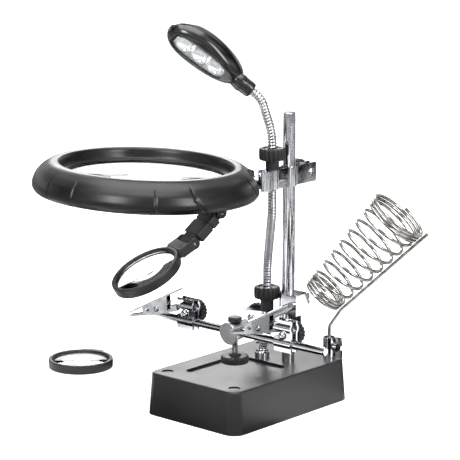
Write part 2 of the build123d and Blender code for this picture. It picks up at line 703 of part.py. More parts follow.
thumb_radius, thumb_thick, thumb_screw = 8.6, 4.6, 1.9
thumb_z = 39.6
with BuildPart(Plane(origin=arm_head_point, z_dir=arm_way)) as arm_head:
    with Locations((0, 0, -head_front)):
        Cylinder(head_radius, head_front + head_back, align=BOTTOM)
    with Locations((0, 0, -head_front)):
        Cylinder(head_radius + 1.2, 2.0, align=BOTTOM)
    chamfer(arm_head.edges().filter_by(GeomType.CIRCLE), 0.4)
    with Locations((0, 0, arm_start - 0.2)):
        Cylinder(arm_bore, 2 * head_back, align=BOTTOM, mode=Mode.SUBTRACT)
    with BuildSketch(Plane(origin=arm_head_point, z_dir=(1, 0, 0))):
        Circle(cross_rod_radius + running_clear)
    extrude(amount=2 * head_radius, both=True, mode=Mode.SUBTRACT)
    with BuildSketch(Plane(origin=arm_head_point, z_dir=(0, 0, 1))):
        Circle(thumb_screw + running_clear)
    extrude(amount=2 * head_radius, both=True, mode=Mode.SUBTRACT)
keep(arm_head, "arm_head")

with BuildPart(Plane((arm_x, arm_head_y, arm_head_z))) as head_cap:
    with Locations((0, 0, head_radius + 0.3)):
        Cylinder(4.2, 3.0, align=BOTTOM)
    chamfer(head_cap.edges().group_by(Axis.Z)[-1], 0.7)
    with Locations((0, 0, cross_rod_radius + 0.5)):
        Cylinder(thumb_screw, head_radius, align=BOTTOM)
keep(head_cap, "head_cap")

head_thumbscrew = fluted_knob(
    Plane(origin=(arm_x, arm_head_y, thumb_z + thumb_thick), z_dir=(0, 0, -1)), thumb_radius,
    thumb_thick, hub=(3.4, 1.6),
    screw=(thumb_screw, arm_head_z - cross_rod_radius - joint_gap - thumb_z - thumb_thick), flutes=30)
keep(head_thumbscrew, "head_thumbscrew")

cross_rod = round_bar((cross_rod_left, arm_head_y, arm_head_z), Vector(1, 0, 0),
                      cross_rod_right - cross_rod_left, cross_rod_radius)
keep(cross_rod, "cross_rod")


# ---------------------------------------------------------------- clip clamps and clips
pivot_back = 20.0           # jaw tip to the jaw pivot
pivot_rise = 1.2
upper_half, lower_half = 3.4, 2.3
tip_half = 1.7
tooth_pitch = 1.9


def clamp_plates(x, yaw, dip):
    """Stamped pair that grips the cross rod below and a clip's ball above."""
    place = Plane(origin=(x, arm_head_y, arm_head_z), x_dir=(0, 0, 1), z_dir=(1, 0, 0))
    pair = stamped_pair(place, -clamp_below, clamp_above, clamp_gap, clamp_width,
                        [(0, cross_rod_radius + running_clear),
                         (clamp_ball_rise, clamp_ball_radius + running_clear)],
                        (clamp_ball_rise / 2, screw_r + running_clear))
    with BuildPart() as plates:
        add(pair.part)
        with BuildSketch(Plane(origin=(x, arm_head_y, arm_head_z + clamp_ball_rise),
                               x_dir=(0, 0, 1), z_dir=bearing(180 + yaw, -dip))):
            Rectangle(8.4, 4.6)
        extrude(amount=clamp_width, mode=Mode.SUBTRACT)
    return plates


def clamp_knob(x):
    """Clamp screw that crosses both plates, knob behind."""
    outer = cross_rod_radius + plate_thick
    seat = (x, arm_head_y + outer + joint_gap + 1.0, arm_head_z + clamp_ball_rise / 2)
    return fluted_knob(Plane(origin=seat, z_dir=(0, 1, 0)), 7.2, 5.4, hub=(2.8, 1.0),
                       screw=(screw_r, 1.0 + joint_gap + 2 * outer + 0.8))


def channel(place, profile, half_width, open_side, length):
    """Folded sheet jaw: a side profile, hollow from open_side, narrowed towards the tip."""
    side = Plane(origin=place.origin, x_dir=place.x_dir, z_dir=place.y_dir * -1)
    with BuildPart() as piece:
        with BuildSketch(side):
            with BuildLine():
                Polyline(*profile, close=True)
            make_face()
        extrude(amount=half_width, both=True)
        with BuildSketch(side):
            with BuildLine():
                Polyline(*[(x, z + open_side * clip_sheet * 1.3) for x, z in profile], close=True)
            make_face()
        extrude(amount=half_width - clip_sheet, both=True, mode=Mode.SUBTRACT)
        with BuildSketch(place.offset(-30)):
            with BuildLine():
                Polyline((-60, half_width), (length - pivot_back + 4, half_width), (length, tip_half),
                         (length, -tip_half), (length - pivot_back + 4, -half_width),
                         (-60, -half_width), close=True)
            make_face()
        extrude(amount=60, mode=Mode.INTERSECT)
    return piece


def clip(x, yaw, dip, stem):
    """Lower jaw with its ball and stem, and the upper jaw, of one clip."""
    ball = Vector(x, arm_head_y, arm_head_z + clamp_ball_rise)
    way = bearing(180 + yaw, -dip)
    place = Plane(origin=ball, x_dir=way, z_dir=bearing(180 + yaw, 90 - dip))
    side = Plane(origin=ball, x_dir=way, z_dir=place.y_dir * -1)
    length = stem + clip_body
    pivot_x = length - pivot_back
    lower_fold = channel(place, [(stem, -2.2), (stem, -0.3), (length, -0.15), (length, -1.3),
                                 (pivot_x, -2.4)], lower_half, 1, length)
    with BuildPart() as lower:
        add(lower_fold.part)
        with BuildSketch(Plane(origin=ball, z_dir=way)):
            Circle(1.5)
        extrude(amount=stem + 4)
        with Locations(ball):
            Sphere(clamp_ball_radius)
        with BuildSketch(side):
            with Locations((stem + 2, -0.3)):
                Rectangle(4, 3.6)
            with Locations((pivot_x, pivot_rise)):
                Circle(1.9)
            with Locations((pivot_x, -0.4)):
                Rectangle(3.8, 3.2)
        extrude(amount=lower_half, both=True)
        with BuildSketch(side):
            with Locations((pivot_x, pivot_rise)):
                Circle(1.0)
        extrude(amount=upper_half + 0.5, both=True)
    upper_fold = channel(place, [(length, 0.15), (length - 27.0, -0.8), (length - 28.5, 8.0),
                                 (length - 38.0, 10.4), (length - 38.2, 11.2), (length, 1.5)],
                         upper_half, -1, length)
    with BuildPart() as upper:
        add(upper_fold.part)
        with BuildSketch(side):
            with Locations((pivot_x, pivot_rise)):
                Circle(1.0 + running_clear)
            with Locations((length - 14, 1.9)):
                Circle(1.3)
        extrude(amount=2 * upper_half, both=True, mode=Mode.SUBTRACT)
        with BuildSketch(side):
            for tooth in range(5):
                with Locations(Location((length - 1.2 - tooth * tooth_pitch, 0.1), 45)):
                    Rectangle(0.8, 0.8)
        extrude(amount=2 * upper_half, both=True, mode=Mode.SUBTRACT)
    return lower, upper


for label, x, yaw, dip, stem in (("left", left_clamp_x, 22.0, 13.0, 7.0),
                                 ("right", right_clamp_x, 15.0, 11.0, 3.4)):
    keep(clamp_plates(x, yaw, dip), f"{label}_clamp_plates")
    keep(clamp_knob(x), f"{label}_clamp_knob")
    lower_jaw, upper_jaw = clip(x, yaw, dip, stem)
    keep(lower_jaw, f"{label}_clip_lower_jaw")
    keep(upper_jaw, f"{label}_clip_upper_jaw")


# ---------------------------------------------------------------- iron rest
socket_sleeve = round_bar((iron_x, iron_y, socket_root), Vector(0, 0, 1),
                          base_height + socket_rise - socket_root, socket_radius,
                          bore=wire_radius + running_clear)
wing_z = base_height + 7.5
with BuildPart() as iron_socket:
    add(socket_sleeve.part)
    with BuildSketch(Plane(origin=(iron_x, iron_y, wing_z), z_dir=(1, 0, 0))):
        Circle(screw_r + running_clear)
    extrude(amount=2 * socket_radius, mode=Mode.SUBTRACT)
keep(iron_socket, "iron_socket")

wing_seat = socket_radius + joint_gap
with BuildPart(Plane(origin=(iron_x + wing_seat, iron_y, wing_z), z_dir=(1, 0, 0))) as iron_wing_screw:
    Cylinder(2.8, 3.0, align=BOTTOM)
    for side in (-1, 1):
        with Locations((side * 4.0, 0, 3.6)):
            Box(5.0, 1.6, 4.6)
    with Locations((0, 0, wire_radius + joint_gap - wing_seat)):
        Cylinder(screw_r, wing_seat, align=BOTTOM)
keep(iron_wing_screw, "iron_wing_screw")

iron_level = bearing(iron_bearing)
coil_way = bearing(iron_bearing, iron_slope)
coil_under = bearing(iron_bearing, iron_slope - 90)
coil_start = Vector(iron_x, iron_y, 66.2) - iron_level * 5.1
coil_cone = (coil_big_radius - coil_small_radius) / coil_length
coil_plane = Plane(origin=coil_start, z_dir=coil_way)
close_pitch, close_turns = 2 * wire_radius + 0.25, 3
close_length = close_pitch * close_turns
open_turns = 7


def coil_run(start, length, turns):
    """Wire wound about the coil's axis between two distances along it."""
    radius = coil_small_radius + coil_cone * start
    end_radius = radius + coil_cone * length
    steps = 12 * turns
    points = []
    for step in range(steps + 1):
        share = step / steps
        reach = radius + (end_radius - radius) * share
        turn = 2 * pi * turns * share
        points.append(coil_plane.from_local_coords(
            Vector(reach * cos(turn), reach * sin(turn), start + length * share)))
    with BuildPart() as piece:
        with BuildLine() as route:
            Spline(*points)
        with BuildSketch(Plane(origin=route.line @ 0, z_dir=route.line % 0)):
            Circle(wire_radius)
        sweep(path=route.line)
    return piece


lower_close = coil_run(0, close_length, close_turns)
upper_close = coil_run(coil_length - close_length, close_length, close_turns)
with BuildPart() as iron_coil_ends:
    add(lower_close.part)
    add(upper_close.part)
keep(iron_coil_ends, "iron_coil_ends")
keep(coil_run(close_length, coil_length - 2 * close_length, open_turns), "iron_coil_middle")

leg_offset = 2 * wire_radius + 0.4
leg_foot = coil_start + coil_under * (coil_small_radius + leg_offset) + coil_way * 2
leg_tip = coil_start + coil_under * (coil_big_radius + leg_offset) + coil_way * (coil_length + 3)
iron_rest_leg = bent_tube(
    [(iron_x, iron_y, socket_root + 3), (iron_x, iron_y, 47.0), leg_foot, leg_tip],
    [6.0, 10.0], wire_radius)
keep(iron_rest_leg, "iron_rest_leg")
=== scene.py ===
"""Helping hands clamp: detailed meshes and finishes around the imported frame.

Lengths are written in millimetres and turned to metres when a mesh is made.
"""
import json
import math
import bmesh
import bpy
import numpy as np
from mathutils import Matrix, Vector


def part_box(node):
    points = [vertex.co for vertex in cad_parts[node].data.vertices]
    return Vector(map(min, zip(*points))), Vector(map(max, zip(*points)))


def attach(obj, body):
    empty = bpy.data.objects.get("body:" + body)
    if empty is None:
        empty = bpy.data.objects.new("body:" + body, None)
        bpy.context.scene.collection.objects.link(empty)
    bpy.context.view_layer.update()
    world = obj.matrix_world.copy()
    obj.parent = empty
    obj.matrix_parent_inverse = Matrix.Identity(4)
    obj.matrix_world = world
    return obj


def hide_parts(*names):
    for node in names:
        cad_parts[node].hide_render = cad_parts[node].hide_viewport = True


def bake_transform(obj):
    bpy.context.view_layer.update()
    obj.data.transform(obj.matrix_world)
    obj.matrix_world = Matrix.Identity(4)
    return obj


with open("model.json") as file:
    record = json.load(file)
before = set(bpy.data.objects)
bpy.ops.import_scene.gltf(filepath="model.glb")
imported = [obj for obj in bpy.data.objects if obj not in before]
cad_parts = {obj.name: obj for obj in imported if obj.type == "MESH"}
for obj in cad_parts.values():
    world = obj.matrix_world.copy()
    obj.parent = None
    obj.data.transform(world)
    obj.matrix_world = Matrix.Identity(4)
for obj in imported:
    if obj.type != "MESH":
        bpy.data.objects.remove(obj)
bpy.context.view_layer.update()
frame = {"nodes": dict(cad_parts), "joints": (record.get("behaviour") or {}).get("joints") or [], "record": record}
nodes = frame["nodes"]
joints = {joint["name"]: joint for joint in frame["joints"]}
slots = {part["node"]: part["material_slot"] for part in frame["record"]["subparts"]}
MM = 0.001
FULL = 2 * np.pi


# ---------------------------------------------------------------- places and directions
def unit(vector):
    """The vector at length one."""
    vector = np.asarray(vector, float)
    return vector / np.linalg.norm(vector)


def pivot(name):
    """Where a joint turns, in mm."""
    return np.array(joints[name]["pos_m"]) / MM


def way(name):
    """The direction of a joint's axis."""
    return unit(joints[name]["axis"])


def bearing(angle, slope=0.0):
    """Unit vector at an angle from +X seen from above and a slope above level, in degrees."""
    angle, slope = math.radians(angle), math.radians(slope)
    return np.array([math.cos(slope) * math.cos(angle), math.cos(slope) * math.sin(angle), math.sin(slope)])


class Place:
    """A point with three square directions: x along, z up, y across."""

    def __init__(self, origin, z, x=None):
        self.origin = np.asarray(origin, float)
        self.z = unit(z)
        if x is None:
            x = np.cross([0, 0, 1], self.z) if abs(self.z[2]) < 0.99 else [1, 0, 0]
        x = np.asarray(x, float)
        self.x = unit(x - self.z * (x @ self.z))
        self.y = np.cross(self.z, self.x)

    def at(self, x, y, z):
        """Points of the row frame for arrays of local x, y and z."""
        x, y, z = np.broadcast_arrays(x, y, z)
        return (self.origin + x[..., None] * self.x + y[..., None] * self.y + z[..., None] * self.z)

    def up(self, distance):
        """The same directions, moved along z."""
        return Place(self.origin + self.z * distance, self.z, self.x)


# ---------------------------------------------------------------- mesh makers
def mesh_piece(name, points, faces, finish, sharp=40):
    """Mesh object at the origin from points in mm, with doubles merged and faces turned outwards."""
    mesh = bpy.data.meshes.new(name)
    mesh.from_pydata(points * MM, [], faces)
    work = bmesh.new()
    work.from_mesh(mesh)
    bmesh.ops.remove_doubles(work, verts=work.verts, dist=2e-6)
    bmesh.ops.recalc_face_normals(work, faces=work.faces)
    work.to_mesh(mesh)
    work.free()
    mesh.polygons.foreach_set("use_smooth", [True] * len(mesh.polygons))
    mesh.set_sharp_from_angle(angle=math.radians(sharp))
    mesh.materials.append(finish)
    piece = bpy.data.objects.new(name, mesh)
    bpy.context.scene.collection.objects.link(piece)
    return piece


def surface(name, grid, finish, closed=False, caps=False, sharp=40):
    """Quads over a grid of rows of points. Each row is a closed loop.

    closed joins the last row to the first, and caps closes the first and last rows.
    """
    rows, columns = grid.shape[:2]
    row, column = np.meshgrid(np.arange(rows - (not closed)), np.arange(columns), indexing="ij")
    after_row, after_column = (row + 1) % rows, (column + 1) % columns
    corners = [row * columns + column, row * columns + after_column,
               after_row * columns + after_column, after_row * columns + column]
    faces = np.stack([corner.ravel() for corner in corners], 1).tolist()
    if caps:
        faces += [list(range(columns))[::-1], list(range((rows - 1) * columns, rows * columns))]
    return mesh_piece(name, grid.reshape(-1, 3), faces, finish, sharp)


def soften(points, rounds=2, closed=True, keep=0.2):
    """Outline with its corners cut: every edge keeps the middle part of its length, rounds times."""
    points = np.asarray(points, float)
    for _ in range(rounds):
        after = np.roll(points, -1, 0) if closed else points[1:]
        first = points if closed else points[:-1]
        cut = np.stack([first * (1 - keep) + after * keep, first * keep + after * (1 - keep)], 1)
        cut = cut.reshape(-1, 2)
        points = cut if closed else np.vstack([points[:1], cut, points[-1:]])
    return points


def turned(name, place, outline, finish, sides=64, shape=None, closed=False, sharp=40):
    """Outline of (radius, height) carried round the place's z.

    shape(angle, radius, height) gives the radius at each angle, so that a side can be fluted or
    grooved. An outline that isn't closed starts and ends on the axis.
    """
    outline = np.asarray(outline, float)
    angle = np.arange(sides) / sides * FULL
    radius, height = outline[:, :1], outline[:, 1:]
    radius = np.broadcast_to(radius, (len(outline), sides))
    if shape is not None:
        radius = shape(angle[None, :], radius, height)
    grid = place.at(radius * np.cos(angle), radius * np.sin(angle), height)
    return surface(name, grid, finish, closed=closed, sharp=sharp)


def route_round(corners, radii, step):
    """Points a step apart along straight runs joined by arcs that touch both runs."""
    corners = [np.asarray(corner, float) for corner in corners]
    points, start = [], corners[0]
    for before, corner, after, radius in zip(corners, corners[1:], corners[2:], radii):
        inward, outward = unit(corner - before), unit(after - corner)
        turn = math.acos(np.clip(inward @ outward, -1, 1))
        reach = radius * math.tan(turn / 2)
        enter, leave = corner - inward * reach, corner + outward * reach
        count = max(2, int(np.linalg.norm(enter - start) / step))
        points.append(start + (enter - start) * (np.arange(count) / count)[:, None])
        bend = unit(outward - inward * (outward @ inward))
        share = np.arange(max(3, int(radius * turn / step))) / max(3, int(radius * turn / step)) * turn
        points.append(enter + inward * (radius * np.sin(share))[:, None]
                      + bend * (radius * (1 - np.cos(share)))[:, None])
        start = leave
    count = max(2, int(np.linalg.norm(corners[-1] - start) / step))
    points.append(start + (corners[-1] - start) * (np.arange(count + 1) / count)[:, None])
    return np.vstack(points)


def carried(name, route, finish, radius, sides=16, ridge=0.0, pitch=1.0):
    """Round section carried along a route, with a helical ridge: the radius swells by ridge times
    a narrow peak of the angle less a full turn for each pitch of length.
    """
    along = np.gradient(route, axis=0)
    along /= np.linalg.norm(along, axis=1)[:, None]
    lengths = np.r_[0, np.cumsum(np.linalg.norm(np.diff(route, axis=0), axis=1))]
    side = np.cross(along[0], [0.31, 0.17, 0.93]) if abs(along[0][2]) < 0.9 else np.array([1.0, 0, 0])
    sides_along = np.empty_like(route)
    for index, direction in enumerate(along):
        side = unit(side - direction * (side @ direction))
        sides_along[index] = side
    across = np.cross(along, sides_along)
    angle = np.arange(sides) / sides * FULL
    peak = 0.5 + 0.5 * np.cos(angle[None, :] - lengths[:, None] / pitch * FULL)
    reach = radius - ridge + ridge * peak ** 1.5
    grid = (route[:, None, :] + (reach * np.cos(angle))[..., None] * sides_along[:, None, :]
            + (reach * np.sin(angle))[..., None] * across[:, None, :])
    return surface(name, grid, finish, caps=True, sharp=60)


# ---------------------------------------------------------------- finishes
def colour(text):
    """Linear RGBA of an sRGB hex value."""
    value = np.array([int(text[index:index + 2], 16) for index in (1, 3, 5)]) / 255
    value = np.where(value <= 0.04045, value / 12.92, ((value + 0.055) / 1.055) ** 2.4)
    return (*value.tolist(), 1.0)


def add(owner, kind, inputs=None, **settings):
    """One node of a material or the world, with its settings, and its inputs as values or as another
    node's output.
    """
    node = owner.node_tree.nodes.new(kind)
    for name, value in settings.items():
        setattr(node, name, value)
    for name, value in (inputs or {}).items():
        if isinstance(value, bpy.types.NodeSocket):
            owner.node_tree.links.new(value, node.inputs[name])
        else:
            node.inputs[name].default_value = value
    return node


def finish(name, base, second, grain_mm, roughness, spread=0.06, bump=0.0, bump_mm=0.4, stretch=(1, 1, 1),
           **shader):
    """Material whose colour and roughness drift between two values over patches of grain_mm, with a
    fine relief bump deep over grains of bump_mm, stretched along an axis for a drawn or brushed mark.
    """
    material = bpy.data.materials.new(name)
    material.use_nodes = True
    material.node_tree.nodes.clear()
    place = add(material, "ShaderNodeTexCoord").outputs["Object"]
    stretched = add(material, "ShaderNodeMapping", {"Vector": place, "Scale": stretch}).outputs[0]
    patches = add(material, "ShaderNodeTexNoise", {"Vector": place, "Scale": 1000 / grain_mm, "Detail": 4.0,
                                                   "Roughness": 0.6}).outputs["Fac"]
    fine = add(material, "ShaderNodeTexNoise", {"Vector": stretched, "Scale": 1000 / bump_mm,
                                                "Detail": 2.0}).outputs["Fac"]
    drift = add(material, "ShaderNodeMapRange", {"Value": patches, "From Min": 0.35, "From Max": 0.68})
    tint = add(material, "ShaderNodeMix", {"Factor": drift.outputs[0]}, data_type="RGBA")
    tint.inputs[6].default_value, tint.inputs[7].default_value = colour(base), colour(second)
    rough = add(material, "ShaderNodeMapRange", {"Value": patches, "From Min": 0.3, "From Max": 0.7,
                                                 "To Min": max(0.0, roughness - spread),
                                                 "To Max": roughness + spread})
    body = add(material, "ShaderNodeBsdfPrincipled", {"Base Color": tint.outputs[2],
                                                      "Roughness": rough.outputs[0], **shader})
    if bump:
        relief = add(material, "ShaderNodeBump", {"Height": fine, "Strength": 1.0,
                                                  "Distance": bump * MM})
        material.node_tree.links.new(relief.outputs[0], body.inputs["Normal"])
    add(material, "ShaderNodeOutputMaterial", {"Surface": body.outputs[0]})
    return material


# Satin powder coat on a die casting: dark warm grey with a fine orange peel.
powder_coat = finish("powder_coated_die_casting", "#171618", "#1d1c1f", 22, 0.42, 0.05, 0.012, 0.9,
                     **{"Coat Weight": 0.15, "Coat Roughness": 0.35})
# ABS moulded in a spark-eroded tool: an even matte black grain.
matte_abs = finish("spark_textured_black_abs", "#101011", "#18181a", 9, 0.46, 0.06, 0.02, 0.35)
# ABS moulded in a polished tool: deep black with faint flow marks and handling haze.
gloss_abs = finish("polished_black_abs", "#0b0b0c", "#111113", 35, 0.2, 0.06, 0.006, 6.0,
                   **{"Coat Weight": 0.4, "Coat Roughness": 0.12})
# The hood's ABS has been rubbed to a half gloss.
hood_abs = finish("half_gloss_black_abs", "#0a0a0b", "#101012", 30, 0.33, 0.06, 0.006, 6.0,
                  **{"Specular IOR Level": 0.4})
# Bright chrome over nickel: cold white metal with light smears from handling.
chrome = finish("bright_chrome_plate", "#d9dade", "#c4c6cb", 12, 0.09, 0.05, 0.0006, 0.6, Metallic=1.0)
# Stamped steel with dull nickel plate: warmer, with marks from barrel plating.
nickel = finish("barrel_nickel_plated_steel", "#97989b", "#7d7f83", 5, 0.2, 0.08, 0.002, 0.35, Metallic=1.0)
# Face of a turned bar, left dull before plating: fine tool marks read as a soft grey.
turned_steel = finish("turned_nickel_bar", "#b7b7b8", "#a4a4a6", 4, 0.36, 0.07, 0.003, 0.3, Metallic=1.0)
# Interlocked strip hose with thin chrome: the strip edges are slightly rubbed.
strip_hose = finish("interlocked_chromed_strip", "#cfd0d3", "#a9aaae", 6, 0.2, 0.06, 0.001, 0.5, Metallic=1.0)
# Drawn spring wire with nickel plate: fine marks along the wire.
spring_wire = finish("drawn_nickel_spring_wire", "#b6b4b1", "#94928f", 7, 0.17, 0.06, 0.0008, 0.4,
                     Metallic=1.0)
# Ground and polished lens glass: colourless, with the least haze.
lens_glass = finish("polished_lens_glass", "#f6fbfa", "#ffffff", 60, 0.012, 0.008,
                    **{"Transmission Weight": 1.0, "IOR": 1.5, "Specular IOR Level": 0.3})
# Clear moulded polycarbonate, a little less perfect than the glass.
clear_cover = finish("clear_polycarbonate", "#f4f8fc", "#ffffff", 12, 0.05, 0.03,
                     **{"Transmission Weight": 0.95, "IOR": 1.58})
# Vacuum-metallised reflector.
metallised = finish("vacuum_metallised_reflector", "#dcdde0", "#cfd0d4", 6, 0.12, 0.05, Metallic=1.0)
# Epoxy of a white lamp diode: milky and slightly yellow from the phosphor.
diode_resin = finish("white_diode_epoxy", "#f4f0da", "#fff8e2", 3, 0.15, 0.05,
                     **{"Transmission Weight": 0.4, "IOR": 1.5, "Subsurface Weight": 0.3})
# Solder mask over copper.
solder_mask = finish("green_solder_mask", "#0f4a26", "#166034", 4, 0.3, 0.08, 0.006, 0.8)
# Plain printed sleeve on a cell.
cell_sleeve = finish("shrink_sleeve_blue", "#24345f", "#2b3d6e", 10, 0.3, 0.06)
# Sand-cast iron ballast, unpainted.
cast_iron = finish("sand_cast_iron", "#3c3a38", "#54514e", 3, 0.72, 0.1, 0.12, 1.4, Metallic=0.6)

FINISHES = {"satin_black_paint": powder_coat, "matte_black_plastic": matte_abs,
            "gloss_black_plastic": gloss_abs, "chrome": chrome, "nickel_steel": nickel,
            "lens_glass": lens_glass, "clear_plastic": clear_cover, "mirror_reflector": metallised,
            "led_resin": diode_resin, "circuit_board": solder_mask, "battery_sleeve": cell_sleeve,
            "cast_ballast": cast_iron}
for node_name, cad_piece in nodes.items():
    cad_piece.data.materials.clear()
    cad_piece.data.materials.append(FINISHES[slots[node_name]])
nodes["arm_head"].data.materials[0] = turned_steel


def join_body(piece, body, slot, *replaced):
    """The piece rides on a body and stands for CAD nodes, which are hidden. slot is not used."""
    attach(piece, body)
    if replaced:
        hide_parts(*replaced)
    return piece


# ---------------------------------------------------------------- rods and post
post_radius, rod_radius = 4.0, 2.6
post_edge, rod_edge = 0.7, 0.5
head_inset, arm_end_room = 3.4, 0.3     # arm's start in its head, and its end short of its box


def rod(name, start, end, radius, body, node, edge=rod_edge):
    """Plain bar between two points, its ends chamfered by edge with a soft break on each corner."""
    length = np.linalg.norm(end - start)
    outline = soften([(radius - edge, 0), (radius, edge), (radius, length - edge), (radius - edge, length)],
                     2, closed=False)
    outline = np.vstack([[(0, 0)], outline, [(0, length)]])
    return join_body(turned(name, Place(start, end - start), outline, chrome, 72), body, "chrome", node)


low, high = (np.array(corner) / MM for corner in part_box("post"))
post_x, post_y = (low[0] + high[0]) / 2, (low[1] + high[1]) / 2
rod("post_bar", np.array([post_x, post_y, low[2]]), np.array([post_x, post_y, high[2]]), post_radius,
    "base", "post", post_edge)
low, high = (np.array(corner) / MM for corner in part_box("cross_rod"))
head_point = pivot("arm_head_roll")
rod("cross_bar", np.array([low[0], *head_point[1:]]), np.array([high[0], *head_point[1:]]), rod_radius,
    "cross_rod", "cross_rod")
arm_way = -way("cross_arm_slide")
arm_start = head_point + arm_way * head_inset
arm_length = (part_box("cross_arm_rod")[1][1] / MM - head_point[1]) / arm_way[1] - arm_end_room
arm_end = head_point + arm_way * arm_length
rod("cross_arm_bar", arm_start, arm_end, rod_radius, "cross_arm", "cross_arm_rod")


# ---------------------------------------------------------------- knobs
def fluted(name, place, radius, thick, body, node, flutes, hub, bore=0.0, screw=(0, 0), depth=0.75,
           dish=0.5):
    """Moulded knob: a dished face, a rounded rim, a fluted side and a hub behind.

    The side's radius dips by depth times a sharpened cosine of flutes waves round the knob, and the
    dip fades out over the faces. A screw of (radius, length) stands behind it with a rolled thread.
    """
    hub_radius, hub_length = hub
    rim = 0.8
    face = [(radius * 0.45, thick - dish), (radius * 0.62, thick - dish), (radius * 0.72, thick),
            (radius - rim, thick), (radius, thick - rim), (radius, rim), (radius - rim, 0)]
    back = [(hub_radius + 0.6, 0), (hub_radius, -0.5), (hub_radius, -hub_length)]
    middle = bore if bore else 0.0
    outline = soften(face + back, 2, closed=False, keep=0.22)
    outline = np.vstack([[(middle, thick - dish)], outline, [(middle, -hub_length)]])

    def dip(angle, reach, height):
        """Flutes cut only where the surface is near the rim and on the knob's own thickness."""
        near = np.clip((reach / radius - 0.74) / 0.2, 0, 1) * (height > -0.2)
        wave = 0.5 + 0.5 * np.cos(flutes * angle)
        return reach - depth * near * wave ** 3

    piece = turned(name, place, outline, matte_abs, flutes * 10, dip, closed=bool(bore), sharp=50)
    join_body(piece, body, "matte_black_plastic", node)
    if screw[0]:
        threaded(name + "_screw", place.up(-hub_length), screw[0], screw[1] - hub_length, body)
    return piece


def threaded(name, place, radius, length, body, pitch=0.7):
    """Screw running back from the place: a bar whose radius swells once a pitch, wound round."""
    route = place.origin - place.z * np.linspace(0, length, max(12, int(length / pitch * 8)))[:, None]
    piece = carried(name, route, nickel, radius, 20, 0.22, pitch)
    return join_body(piece, body, "nickel_steel")


knob_radius, knob_thick, plate_out = 7.4, 5.6, 3.2
clamp_knob_radius, gland_radius, thumb_radius = 7.2, 8.3, 8.6
knob_flutes, gland_flutes, thumb_flutes = 18, 16, 30
knob_screw, thumb_screw = 1.5, 1.9       # screw radii
for label, joint, owner in (("lower", "lower_knob_turn", "lower_bracket_knob"),
                            ("upper", "upper_knob_turn", "upper_bracket_knob")):
    seat = Place(pivot(joint) + way(joint) * (plate_out + 1.8), way(joint))
    fluted(f"{label}_bracket_grip", seat, knob_radius, knob_thick, owner, owner, knob_flutes, (3.2, 1.5),
           screw=(knob_screw, 10.2))
fluted("cross_block_grip", Place(pivot("cross_block_knob_turn"), (0, 1, 0)), knob_radius, 5.0,
       "cross_block_knob", "cross_block_knob", knob_flutes, (3.0, 1.5), screw=(knob_screw, 3.9))
for side in ("left", "right"):
    seat = Place(pivot(f"{side}_clamp_knob_turn") + np.array([0, 5.1, 0]), (0, 1, 0))
    fluted(f"{side}_clamp_grip", seat, clamp_knob_radius, 5.4, f"{side}_clamp_knob", f"{side}_clamp_knob",
           knob_flutes, (2.8, 1.0), screw=(knob_screw, 9.6))
for label, rise in (("lower", 8.0), ("upper", 5.6)):
    seat = Place(pivot(f"{label}_gland_turn") + np.array([0, 0, rise]), (0, 0, 1))
    fluted(f"{label}_gland_nut", seat, gland_radius, 7.6, f"{label}_gland", f"neck_gland_{label}",
           gland_flutes, (4.2, rise), bore=2.95, dish=0.9)
thumb = Place(pivot("head_thumbscrew_turn") + np.array([0, 0, 4.6]), (0, 0, -1))
fluted("head_thumb_grip", thumb, thumb_radius, 4.6, "head_thumbscrew", "head_thumbscrew", thumb_flutes,
       (3.4, 1.6), screw=(thumb_screw, 12.0), depth=0.6)


# ---------------------------------------------------------------- gooseneck
hose_radius, strip_pitch = 2.9, 1.9
upper_hose = pivot("upper_gland_turn")
lower_hose = pivot("lower_gland_turn")
lamp_face = way("lamp_button_press")
lamp_way = unit(np.cross(way("lamp_bend"), lamp_face))
lamp_way = lamp_way * np.sign(lamp_way[2])
lamp_root = pivot("lamp_bend") + lamp_way * 11.5
ferrule_low, ferrule_high = (np.array(corner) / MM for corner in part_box("neck_ferrule"))
neck_x, neck_y = (ferrule_low[0] + ferrule_high[0]) / 2, (ferrule_low[1] + ferrule_high[1]) / 2
low_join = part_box("gooseneck_lower")[1][2] / MM
high_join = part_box("gooseneck_upper")[0][2] / MM
hose_step = strip_pitch / 8


def hose(name, corners, radii, node):
    """Wound strip hose: a helical ridge once a strip pitch along runs joined by arcs."""
    piece = carried(name, route_round(corners, radii, hose_step), strip_hose, hose_radius, 24, 0.42,
                    strip_pitch)
    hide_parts(node)
    return piece


lower_sleeve = hose("lower_strip_hose", [
    (neck_x, neck_y, 19.2), (neck_x, neck_y, 31.5), (lower_hose[0], lower_hose[1], 44.0),
    (lower_hose[0], lower_hose[1], low_join)], [14.0, 14.0], "gooseneck_lower")
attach(lower_sleeve, "base")
middle_sleeve = hose("middle_strip_hose", [
    (lower_hose[0], lower_hose[1], low_join), (lower_hose[0], lower_hose[1], low_join + 12),
    (upper_hose[0], upper_hose[1], high_join - 14), (upper_hose[0], upper_hose[1], high_join)],
    [30.0, 30.0], "gooseneck_middle")
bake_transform(middle_sleeve)
upper_sleeve = hose("upper_strip_hose", [
    (upper_hose[0], upper_hose[1], high_join), (upper_hose[0], upper_hose[1], 173.0),
    lamp_root - lamp_way * 11.5, lamp_root], [50.0, 15.0], "gooseneck_upper")
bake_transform(upper_sleeve)


# ---------------------------------------------------------------- lamp head
lamp = Place(lamp_root, lamp_face, lamp_way)
lamp_middle, body_middle, lamp_half, lamp_wide = 34.0, 31.9, 26.9, 13.0
window_x, window_y, split, back_rise = 18.5, 7.5, -1.0, 10.5


def egg(share, scale=1.0, shift=0.0):
    """Outline of the head: an ellipse that is a quarter narrower at the neck than at the tip."""
    turn = share * FULL
    along = body_middle + shift - lamp_half * scale * np.cos(turn)
    across = lamp_wide * scale * np.sin(turn) * (1 - 0.18 * np.cos(turn))
    return along, across


